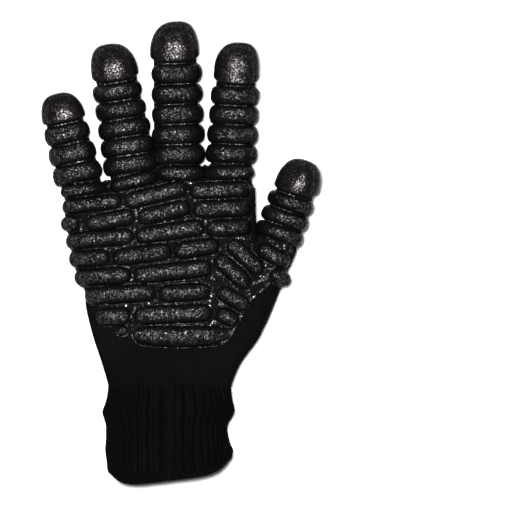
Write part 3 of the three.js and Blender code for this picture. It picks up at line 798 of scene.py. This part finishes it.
def coating(name):
    """The thin rubber skin: crinkled, and thin enough at its border to show the knit."""
    look = Finish(name)
    inside = look.add("ShaderNodeAttribute", attribute_name="inside").outputs["Fac"]
    ragged = look.maths("SUBTRACT", inside, 2.2)
    ragged = look.maths("MULTIPLY_ADD", look.noise(2.4, 3), 3.0, ragged)
    thick = look.ramp(ragged, 0.0, 1.6)
    thin = look.maths("SUBTRACT", 1.0, thick)
    colour = look.blend(thick, (0.003, 0.003, 0.003, 1), (0.0035, 0.0033, 0.0034, 1))
    surface = look.bump(look.times(stitch_height(look), thin), 0.45, strength=0.9)
    surface = look.bump(look.noise(2.6, 4, 0.6), 0.6, strength=0.8, under=surface)
    surface, glint = grains(look, 1.2, 0.6, surface)
    glints = look.times(look.ramp(look.noise(3.5, 3, 0.7), 0.56, 0.64), thick)
    glints = look.maths("MAXIMUM", glints, shiny_rim(look, inside))
    gloss = look.ramp(glints, 0.0, 1.0, start=0.7, end=0.22)
    shine = look.times(look.ramp(glints, 0.0, 1.0, start=0.01), glint)
    return look.finish(
        Base_Color=colour, Roughness=gloss, Specular_IOR_Level=shine_with_painted_dark_edges(look, shine),
        Normal=surface,
    )


hand_knit = knit(
    "black plain knit", dark=(0.0005, 0.0005, 0.0006), light=(0.0042, 0.0042, 0.0047), depth=0.42
)
cuff_knit = knit(
    "black rib knit", dark=(0.0004, 0.0004, 0.0005), light=(0.003, 0.0029, 0.0032), depth=0.4,
    ribbed=0.6,
)
hem_knit = knit(
    "overlocked hem yarn", dark=(0.0006, 0.0005, 0.0005), light=(0.0038, 0.0034, 0.0034),
    depth=0.4,
)
inner_knit = knit(
    "inner face of the knit", dark=(0.01, 0.01, 0.011), light=(0.08, 0.08, 0.09), depth=0.4,
    ribbed=0.4,
)
skin_rubber = coating("thin rubber coating")
pad_rubber = rubber(
    "grained moulded rubber", base=(0.002, 0.0017, 0.0019), rough=0.23, grain=0.9,
    grain_depth=0.36, shine=0.2,
)
tip_rubber = rubber(
    "smooth moulded rubber", base=(0.0024, 0.0019, 0.0021), rough=0.26, grain=0.8,
    grain_depth=0.14, shine=0.22,
)
bead_rubber = rubber(
    "granular rubber bead", base=(0.006, 0.0055, 0.006), rough=0.24, grain=1.2,
    grain_depth=0.45, shine=1.2,
)
flash_rubber = rubber(
    "thin moulding line", base=(0.003, 0.0027, 0.003), rough=0.26, grain=1.2,
    grain_depth=0.45, shine=0.4,
)

# The knitted hand
HAND_INTO_CUFF = 0.6


def knitted_hand():
    bm = form.copy()
    bmesh.ops.bisect_plane(
        bm, geom=[*bm.verts, *bm.edges, *bm.faces],
        plane_co=(0, CUFF_LENGTH - HAND_INTO_CUFF, 0), plane_no=(0, 1, 0), clear_inner=True,
    )
    lay_knit_map(bm)
    nodes = ["knit_hand", *(f"{f.name}_stall" for f in ALL_FINGERS)]
    piece = piece_of("knitted_hand", bm, [hand_knit, inner_knit], nodes)
    add_wall(piece, KNIT_WALL)


# The cuff
CUFF_RIBS = 40
RIB_DEPTH = 0.55
RIBS_FADE_FROM = 0.9
CUFF_LUMP = 1.1
CUFF_OVER_WRIST = 1.2
CUFF_UNDER_HEM = 0.8
WRIST_FOLD_FROM = 0.96
WRIST_SINK = 0.45
FLOOR_CLEARANCE = 0.05
# How far the mouth's edge stops short of the solid's
HEM_SHORTER = 1.2
HEM_FULLNESS = 0.5
HEM_INSET = 0.45
HEM_ENDS_SQUARE = 3.2
HEM_SIDES_SQUARE = 2.4
TUFT = 0.22
TUFTS_ROUND, TUFTS_ALONG = 260, 14


def cuff_point(across, along, offset, ribbed=1.0):
    """Across is a share of the way round, from the thumb's side over the palm."""
    _, half, rise = palm_section(0)
    cosine = squared(math.cos(2 * math.pi * across), PALM_SQUARE)
    sine = squared(math.sin(2 * math.pi * across), PALM_SQUARE)
    swell = half * between(CUFF_ROWS, along, 1 if cosine < 0 else 2)
    edge = (HEM_SLANT * cosine + HEM_CORNER_RISE * cosine**6) * (1 - along) ** 2
    fade = smooth_step(1.0, RIBS_FADE_FROM, along) if along < 1 else 0
    rib = RIB_DEPTH * math.cos(2 * math.pi * CUFF_RIBS * across) * ribbed * fade
    y = CUFF_LENGTH * along + edge + HEM_SLANT / 2 + HEM_SHORTER * (1 - along) ** 2
    lump = noise.noise(Vector((cosine * 4, y / 9, sine * 2 + 7))) * CUFF_LUMP * fade
    reach = offset + rib + lump
    return Vector((
        (half + swell + reach) * cosine,
        y,
        max(
            rise - REST_FLAT + (rise + swell / 2 + reach) * sine,
            FLOOR_CLEARANCE - min(offset, 0),
        ),
    ))


def map_tube(bm, placed, turns, rows):
    """UVs for a tube that was laid out as a grid of shares."""
    layer = bm.loops.layers.uv.new("UVMap")
    for face in bm.faces:
        shares = [placed[loop.vert] for loop in face.loops]
        wraps = max(s[0] for s in shares) - min(s[0] for s in shares) > 0.5
        for loop, (across, along) in zip(face.loops, shares):
            if wraps and across < 0.5:
                across += 1
            loop[layer].uv = (across * turns, along * rows)


def tube(across, along, place, turns, rows):
    """A tube from a grid, joined where it meets itself, with UVs in stitches."""
    bm = bmesh.new()
    shares = []

    def noted(a, b):
        shares.append((a, b))
        return place(a, b)

    made = shaped_grid(bm, across, along, noted)
    map_tube(bm, dict(zip(made, shares)), turns, rows)
    close_up(bm)
    return bm


def ribbed_cuff():
    start = HEM_LENGTH / CUFF_LENGTH * CUFF_UNDER_HEM
    end = 1 + CUFF_OVER_WRIST / CUFF_LENGTH

    def place(across, along):
        share = mix(start, end, along)
        return cuff_point(across, share, -WRIST_SINK * smooth_step(WRIST_FOLD_FROM, 1.0, share))

    rows = CUFF_LENGTH * (end - start) / COURSE
    bm = tube(CUFF_RIBS * 8, 60, place, 2 * CUFF_RIBS, rows)
    piece = piece_of("ribbed_cuff", bm, [cuff_knit, inner_knit], ["rib_cuff"])
    add_wall(piece, KNIT_WALL)


def rolled_hem():
    """The mouth's hem, as a soft band that turns in at the edge."""
    top = HEM_LENGTH / CUFF_LENGTH
    thick = KNIT_WALL / 2 + HEM_FULLNESS

    def place(across, along):
        turn = 2 * math.pi * along
        share = top * 0.5 * (1 - squared(math.cos(turn), HEM_ENDS_SQUARE))
        out = -thick + HEM_INSET + thick * squared(math.sin(turn), HEM_SIDES_SQUARE)
        tuft = noise.noise(Vector((across * TUFTS_ROUND, along * TUFTS_ALONG, 0))) * TUFT
        return cuff_point(across, share, out, 0.5) + Vector((0, tuft, 0))

    bm = tube(CUFF_RIBS * 6, 16, place, 3 * CUFF_RIBS, 9)
    piece_of("rolled_hem", bm, [hem_knit], ["cuff_hem"])


# The rubber skin
SKIN_SIDE = 10.0
SKIN_SIDE_STEEPNESS = 1.4
SKIN_WALL = 1.1
SKIN_THINNEST = 0.12
SKIN_BORDER = 3.2
SKIN_CRINKLE = 0.22
FINGER_WRAP = 0.3
FINGER_BESIDE = 3
RIM_ROUNDS = 14
RIM_REACH = 8.0
# How long and how deep the waves of the skin's edge are
EDGE_WAVES = ((7, 1.3), (2.5, 0.5))


def skin_edge(x):
    rows = [(across * KNUCKLE_WIDTH, along * PALM_LENGTH) for across, along in SKIN_EDGE]
    return CUFF_LENGTH + between(rows, x, 1)


def coated(point):
    """Over 0 where the rubber skin covers the knit, in millimetres from its edge, roughly."""
    wobble = sum(noise.noise(point / length) * depth for length, depth in EDGE_WAVES)
    amount = min(point.y - skin_edge(point.x), SKIN_SIDE_STEEPNESS * (point.z - SKIN_SIDE))
    for f in ALL_FINGERS:
        local = to_finger(f, point)
        half, rise, _ = finger_section(f, local.y)
        if local.y < 0 or abs(local.x) > half + FINGER_BESIDE:
            continue
        wrap = local.z + FINGER_WRAP * rise
        tip = local.y - (f.length - CAP_BACK_REACH)
        amount = max(wrap, tip)
    return amount + wobble


def smooth_rim(bm):
    for _ in range(RIM_ROUNDS):
        moved = {}
        for vert in [v for v in bm.verts if v.is_boundary]:
            near = [e.other_vert(vert).co for e in vert.link_edges if e.is_boundary]
            moved[vert] = sum(near, Vector()) / len(near)
        for vert, place in moved.items():
            vert.co = vert.co.lerp(place, 0.5)


def reach_from_rim(bm):
    """How far points lie from a mesh's rim along its edges, up to RIM_REACH."""
    reached = {v: 0.0 for v in bm.verts if v.is_boundary}
    front = list(reached)
    while front:
        onward = []
        for vert in front:
            for edge in vert.link_edges:
                other = edge.other_vert(vert)
                far = reached[vert] + edge.calc_length()
                if far < RIM_REACH and far < reached.get(other, math.inf) - 1e-6:
                    reached[other] = far
                    onward.append(other)
        front = onward
    return reached


def rubber_skin():
    bm = form.copy()
    amounts = {v: coated(v.co) for v in bm.verts}
    bare = [f for f in bm.faces if min(amounts[v] for v in f.verts) < 0]
    bmesh.ops.delete(bm, geom=bare, context="FACES")
    loose = [v for v in bm.verts if not v.link_faces]
    bmesh.ops.delete(bm, geom=loose, context="VERTS")
    smooth_rim(bm)
    inside = bm.verts.layers.float.new("inside")
    reached = reach_from_rim(bm)
    lay_knit_map(bm)
    bm.normal_update()
    for vert in bm.verts:
        far = reached.get(vert, RIM_REACH)
        vert[inside] = far
        lift = mix(SKIN_THINNEST, SKIN, smooth_step(0, SKIN_BORDER, far))
        crinkle = noise.noise(vert.co / 3.2) * SKIN_CRINKLE * smooth_step(1, 5, far)
        vert.co += vert.normal * (lift + crinkle)
    piece = piece_of("rubber_skin", bm, [skin_rubber], ["palm_skin"])
    add_wall(piece, SKIN_WALL)


# Soft bars of rubber
BAR_SQUARE = 2.1
BAR_SINK = 1.2
BAR_END_MOST = 0.48
BAR_END_SQUARE = 2.4
BAR_END_BLUNT = 2.2
BAR_END_HEIGHT = 0.75
BAR_WAVE = 0.32
BAR_WAVE_LENGTH = 5
BAR_WAVE_SIDE = 0.8
STEP = 0.5


def lengths_along(points):
    lengths = [0.0]
    for a, b in zip(points, points[1:]):
        lengths.append(lengths[-1] + (b - a).length)
    return lengths


def spot_on(path, lengths, distance):
    """A path's point and outward direction at a distance along it."""
    i = 0
    while i < len(lengths) - 2 and lengths[i + 1] < distance:
        i += 1
    share = (distance - lengths[i]) / max(lengths[i + 1] - lengths[i], 1e-6)
    (point, up), (next_point, next_up) = path[i], path[i + 1]
    return point.lerp(next_point, share), up.lerp(next_up, share).normalized()


def tangent_on(path, lengths, distance):
    before, _ = spot_on(path, lengths, max(0, distance - STEP))
    after, _ = spot_on(path, lengths, min(lengths[-1], distance + STEP))
    return (after - before).normalized()


def soft_bar(bm, path, half_width, height, seed, grid, end_round=1.0):
    """A puffed bar of rubber along a path of points and outward directions."""
    lengths = lengths_along([point for point, _ in path])
    total = lengths[-1]
    end = min(half_width * end_round, total * BAR_END_MOST)

    def place(turn, step):
        distance = total * (1 - math.cos(math.pi * step)) / 2
        point, up = spot_on(path, lengths, distance)
        tangent = tangent_on(path, lengths, distance)
        side = up.cross(tangent).normalized()
        up = tangent.cross(side).normalized()
        near = min(distance, total - distance)
        size = 1.0
        if near < end:
            size = max(0.0, 1 - (1 - near / end) ** BAR_END_SQUARE) ** (1 / BAR_END_BLUNT)
        angle = 2 * math.pi * turn
        across = squared(math.cos(angle), BAR_SQUARE) * half_width * size
        sine = math.sin(angle)
        if sine >= 0:
            out = height(distance / total) * squared(sine, BAR_SQUARE) * size**BAR_END_HEIGHT
        else:
            out = BAR_SINK * squared(sine, BAR_SQUARE) * size
        spot = point + side * across + up * out
        wave = noise.noise(spot / BAR_WAVE_LENGTH + Vector((seed, 0, 0))) * BAR_WAVE
        return spot + up * wave * max(0, sine) + side * wave * math.cos(angle) * BAR_WAVE_SIDE

    return shaped_grid(bm, *grid, place)


# The finger ribs
RIB_GAP = 0.5
RIB_TUCK = 0.2
RIB_FOOT = 0.5
RIB_UNEVEN = (0.98, 1.03)
RIB_STEPS = 40
RIB_GRID = (18, 40)
BEAD_WIDTH = 1.2
BEAD_HEIGHT = 2.0
BEAD_GRID = (8, 60)
# Between which angles round a finger a bead's middle lies, and how far it reaches
BEAD_MIDDLE = (84, 100)
BEAD_REACH = (24, 36)
SEEDS = 50


def finger_spot(f, distance, angle):
    """A point on a finger's skin and the direction outwards there."""
    station = station_at(f, distance)
    here = finger_point(f, station, angle, SKIN)
    round_step = finger_point(f, station, angle + 1, SKIN) - here
    long_step = finger_point(f, station + 0.01, angle, SKIN) - here
    up = long_step.cross(round_step).normalized()
    outward = finger_point(f, station, angle, SKIN + 1) - here
    return here, up if up.dot(outward) > 0 else -up


def ring_path(f, distance, first, last):
    return [
        finger_spot(f, distance, mix(first, last, step / RIB_STEPS))
        for step in range(RIB_STEPS + 1)
    ]


def finger_ribs(f):
    """A finger's ribs, with a granular bead in each gap beyond a rib."""
    bm = bmesh.new()
    start = FIT_GAP
    end = f.length - f.cap + RIB_TUCK
    pitch = (end - start) / f.ribs
    chance = random.Random(f.name)

    def height(share):
        angle = mix(f.rib_from, f.rib_to, share)
        crown = max(0, math.sin(math.radians(angle))) ** CROWN_FULLNESS
        side = mix(f.thumb_side, f.little_side, share) + RIB_FOOT
        return mix(side, RIB_HEIGHT, crown)

    for i in range(f.ribs):
        middle = start + (i + 0.5) * pitch
        half = (pitch - RIB_GAP) / 2 * mix(*RIB_UNEVEN, chance.random())
        path = ring_path(f, middle, f.rib_from, f.rib_to)
        soft_bar(bm, path, half, height, chance.random() * SEEDS, RIB_GRID)
        angle = mix(*BEAD_MIDDLE, chance.random())
        reach = mix(*BEAD_REACH, chance.random())
        bead = ring_path(f, middle + pitch / 2, angle - reach, angle + reach)
        made = soft_bar(bm, bead, BEAD_WIDTH / 2, lambda share: BEAD_HEIGHT, 3 * i, BEAD_GRID)
        use_second_material(made)
    close_up(bm)
    piece = piece_of(
        f"{f.name}_ribs", bm, [pad_rubber, bead_rubber], [f"{f.name}_sleeve"]
    )
    add_smoothing(piece)


# The fingertips
CAP_EDGE = 1.8
CAP_EDGE_SHARE = 0.18
CAP_UNDER = -0.4
CAP_WALL = 0.9
CAP_GRID = (44, 34)


def finger_tip(f):
    bm = bmesh.new()

    def place(across, along):
        angle = 360 * across
        palm_side = (1 + math.sin(math.radians(angle))) / 2
        reach = mix(CAP_BACK_REACH, f.cap - RIB_TUCK, palm_side**CAP_EDGE_FULLNESS)
        turn = math.pi / 2 * min(1, along / CAP_EDGE_SHARE)
        rolled = CAP_EDGE * (1 - math.cos(turn))
        start = station_at(f, f.length - reach + rolled)
        station = mix(start, 2, max(0, along - CAP_EDGE_SHARE) / (1 - CAP_EDGE_SHARE))
        even = smooth_step(1.5, 2, station)
        full = FIT_GAP + mix(CAP_BACK, CAP_PAD, mix(palm_side, 0.5, even))
        return finger_point(f, station, angle, mix(CAP_UNDER, full, math.sin(turn)))

    shaped_grid(bm, *CAP_GRID, place)
    close_up(bm)
    piece = piece_of(f"{f.name}_tip", bm, [tip_rubber], [f"{f.name}_cap"])
    add_wall(piece, CAP_WALL)
    add_smoothing(piece)


# The palm's pads
PALM_EDGE = 0.997
ROW_STEPS = 60
SMOOTH_ROUNDS = 12
PAD_SWELL = 1.13
PAD_GRID = (18, 34)
PAD_END_SHARE = 0.2
PAD_END_HEIGHT = 0.78
PAD_END_ROUND = 1.05
SAG_ROUNDING = 1.2
FLASH_WIDTH = 0.7
FLASH_HEIGHT = 0.7
FLASH_GRID = (8, 80)
OUTLINE_STEPS = 96
OUTLINE_START = 0.37
OUTLINE_SWING = 1.6
THUMB_PAD_STEPS = 40
THUMB_PAD_SEED = 40
ABOVE_GLOVE = 25


def palm_direction(along, angle):
    inner = palm_point(along, angle, 0)
    outer = palm_point(along, angle, 3)
    return (outer - inner).normalized()


def row_path(x0, y0, x1, y1, sag):
    """The line under a palm pad, as points and outward directions."""
    path = []
    for i in range(ROW_STEPS + 1):
        step = i / ROW_STEPS
        x = mix(x0, x1, step) * KNUCKLE_WIDTH
        y = CUFF_LENGTH + mix(y0, y1, step) * PALM_LENGTH - 4 * sag * step * (1 - step)
        place = (y - CUFF_LENGTH) / PALM_LENGTH
        for _ in range(4):
            centre, half, _ = palm_section(place)
            across = clamp((x - centre) / (half + SKIN), -PALM_EDGE, PALM_EDGE)
            place = (y - CUFF_LENGTH - knuckle_shift(place, across)) / PALM_LENGTH
        angle = math.degrees(math.acos(squared(across, 4 / PALM_SQUARE)))
        outward = palm_direction(place, angle)
        hit, normal = onto_form(palm_point(place, angle, 0), outward)
        normal = Vector((normal.x, 0, normal.z)).normalized()
        path.append((hit + normal * SKIN, normal))
    return path


def smoothed(path):
    points = [p for p, _ in path]
    ups = [up for _, up in path]
    for _ in range(SMOOTH_ROUNDS):
        for values in (points, ups):
            values[1:-1] = [
                (a + b * 2 + c) / 4 for a, b, c in zip(values, values[1:-1], values[2:])
            ]
    return [(p, up.normalized()) for p, up in zip(points, ups)]


def outline_of(path, reach):
    """A line round a pad's foot, as points and outward directions."""
    lengths = lengths_along([point for point, _ in path])
    total = lengths[-1]
    reach = min(reach, total * 0.5)
    outline = []
    for i in range(OUTLINE_STEPS + 1):
        turn = 2 * math.pi * (i / OUTLINE_STEPS + OUTLINE_START)
        across = math.sin(turn)
        swing = math.cos(turn)
        end = total if swing > 0 else 0
        distance = total / 2 + (end - total / 2) * min(1, abs(swing) * OUTLINE_SWING)
        distance = clamp(distance, reach, total - reach)
        point, up = spot_on(path, lengths, distance)
        tangent = tangent_on(path, lengths, distance)
        side = up.cross(tangent).normalized()
        past = abs(swing) * OUTLINE_SWING * total / 2 - (total / 2 - reach)
        bend = clamp(past / reach) * math.pi / 2
        along = math.copysign(reach * math.sin(bend), swing)
        width = reach * math.cos(bend)
        outline.append((point + tangent * along + side * math.copysign(width, across), up))
    return outline


def pad(name, node, path, wide, seed, end_round=PAD_END_ROUND):
    """A pad on a path, with the thin moulding line round its foot."""
    bm = bmesh.new()
    half = wide * PAD_WIDTH / 2 * PAD_SWELL

    def height(share):
        full = smooth_step(0, PAD_END_SHARE, min(share, 1 - share))
        return (PAD_HEIGHT - FIT_GAP) * min(1, wide + 0.1) * mix(PAD_END_HEIGHT, 1.0, full)

    centre_line = smoothed(path)
    soft_bar(bm, centre_line, half, height, seed, PAD_GRID, end_round)
    flash = outline_of(centre_line, half + FLASH_WIDTH / 2)
    made = soft_bar(bm, flash, FLASH_WIDTH / 2, lambda share: FLASH_HEIGHT, seed, FLASH_GRID)
    use_second_material(made)
    close_up(bm)
    piece = piece_of(name, bm, [pad_rubber, flash_rubber], [node])
    add_smoothing(piece)


def palm_pads():
    count = {}
    for row, x0, y0, x1, y1, wide, sag in PALM_PADS:
        count[row] = count.get(row, 0) + 1
        number = f"{row}_{count[row]}"
        path = row_path(x0, y0, x1, y1, sag)
        seed = 3.1 * row + count[row]
        end_round = PAD_END_ROUND + SAG_ROUNDING * sag
        pad(f"soft_pad_{number}", f"palm_pad_{number}", path, wide, seed, end_round)


def thumb_pads():
    for i, (across, along, length, slope, wide) in enumerate(THUMB_PADS):
        slope = math.radians(slope)
        path = []
        for k in range(THUMB_PAD_STEPS + 1):
            reach = (k / THUMB_PAD_STEPS - 0.5) * length * KNUCKLE_WIDTH
            x = across * KNUCKLE_WIDTH + reach * math.cos(slope)
            y = CUFF_LENGTH + along * PALM_LENGTH + reach * math.sin(slope)
            hit, normal = onto_form(Vector((x, y, ABOVE_GLOVE)), Vector((0, 0, 1)))
            path.append((hit + normal * SKIN, normal))
        pad(f"soft_thumb_pad_{i + 1}", f"thumb_pad_{i + 1}", path, wide, THUMB_PAD_SEED + i)


knitted_hand()
ribbed_cuff()
rolled_hem()
rubber_skin()
for finger in ALL_FINGERS:
    finger_ribs(finger)
    finger_tip(finger)
palm_pads()
thumb_pads()

# The floor, the light and the camera
FLOOR_REACH = 1
KEY_PLACE = (-0.08, 0.09, 1.38)
KEY_SIZE = 0.32
KEY_POWER = 48
# The studio's pale walls: how high they reach and fade, and how bright they are low and high
WALLS = (0.06, 0.3, 1.05, 0.08)


def pale_floor():
    bm = bmesh.new()
    bmesh.ops.create_grid(bm, x_segments=1, y_segments=1, size=FLOOR_REACH)
    floor = new_object("pale_floor", mesh_from("pale_floor", bm))
    look = Finish("pale floor")
    colour = look.blend(look.noise(40), (0.93, 0.93, 0.93, 1), (0.95, 0.95, 0.95, 1))
    floor.data.materials.append(look.finish(Base_Color=colour, Roughness=0.9))


def key_light():
    data = bpy.data.lights.new("key", "AREA")
    data.shape = "DISK"
    data.size = KEY_SIZE
    data.energy = KEY_POWER
    lamp = new_object("key", data)
    lamp.location = KEY_PLACE
    lamp.rotation_euler = (-Vector(KEY_PLACE)).to_track_quat("-Z", "Y").to_euler()


def studio():
    world = bpy.data.worlds.new("studio")
    bpy.context.scene.world = world
    world.use_nodes = True
    nodes, links = world.node_tree.nodes, world.node_tree.links
    direction = nodes.new("ShaderNodeTexCoord").outputs["Generated"]
    parts = nodes.new("ShaderNodeSeparateXYZ")
    band = nodes.new("ShaderNodeMapRange")
    for name, value in zip(("From Min", "From Max", "To Min", "To Max"), WALLS):
        band.inputs[name].default_value = value
    links.new(direction, parts.inputs[0])
    links.new(parts.outputs["Z"], band.inputs["Value"])
    nodes["Background"].inputs["Color"].default_value = (1, 1, 1, 1)
    links.new(band.outputs["Result"], nodes["Background"].inputs["Strength"])
    bpy.context.scene.view_settings.view_transform = "Standard"


# The photograph's scale and the middle of its frame, from the places of the cuff and tips
MM_PER_PIXEL = 0.565
PIXELS = 512
FRAME_MIDDLE = (0.0412, -0.0019)
MIDDLE_HEIGHT = 0.016
CAMERA_HEIGHT = 5.0
SENSOR = 36


def camera():
    data = bpy.data.cameras.new("camera")
    data.sensor_width = SENSOR
    data.lens = SENSOR * (CAMERA_HEIGHT - MIDDLE_HEIGHT) / (PIXELS * MM_PER_PIXEL * MM)
    eye = new_object("camera", data)
    eye.location = (*FRAME_MIDDLE, CAMERA_HEIGHT)
    bpy.context.scene.camera = eye


pale_floor()
camera()
studio()
key_light()
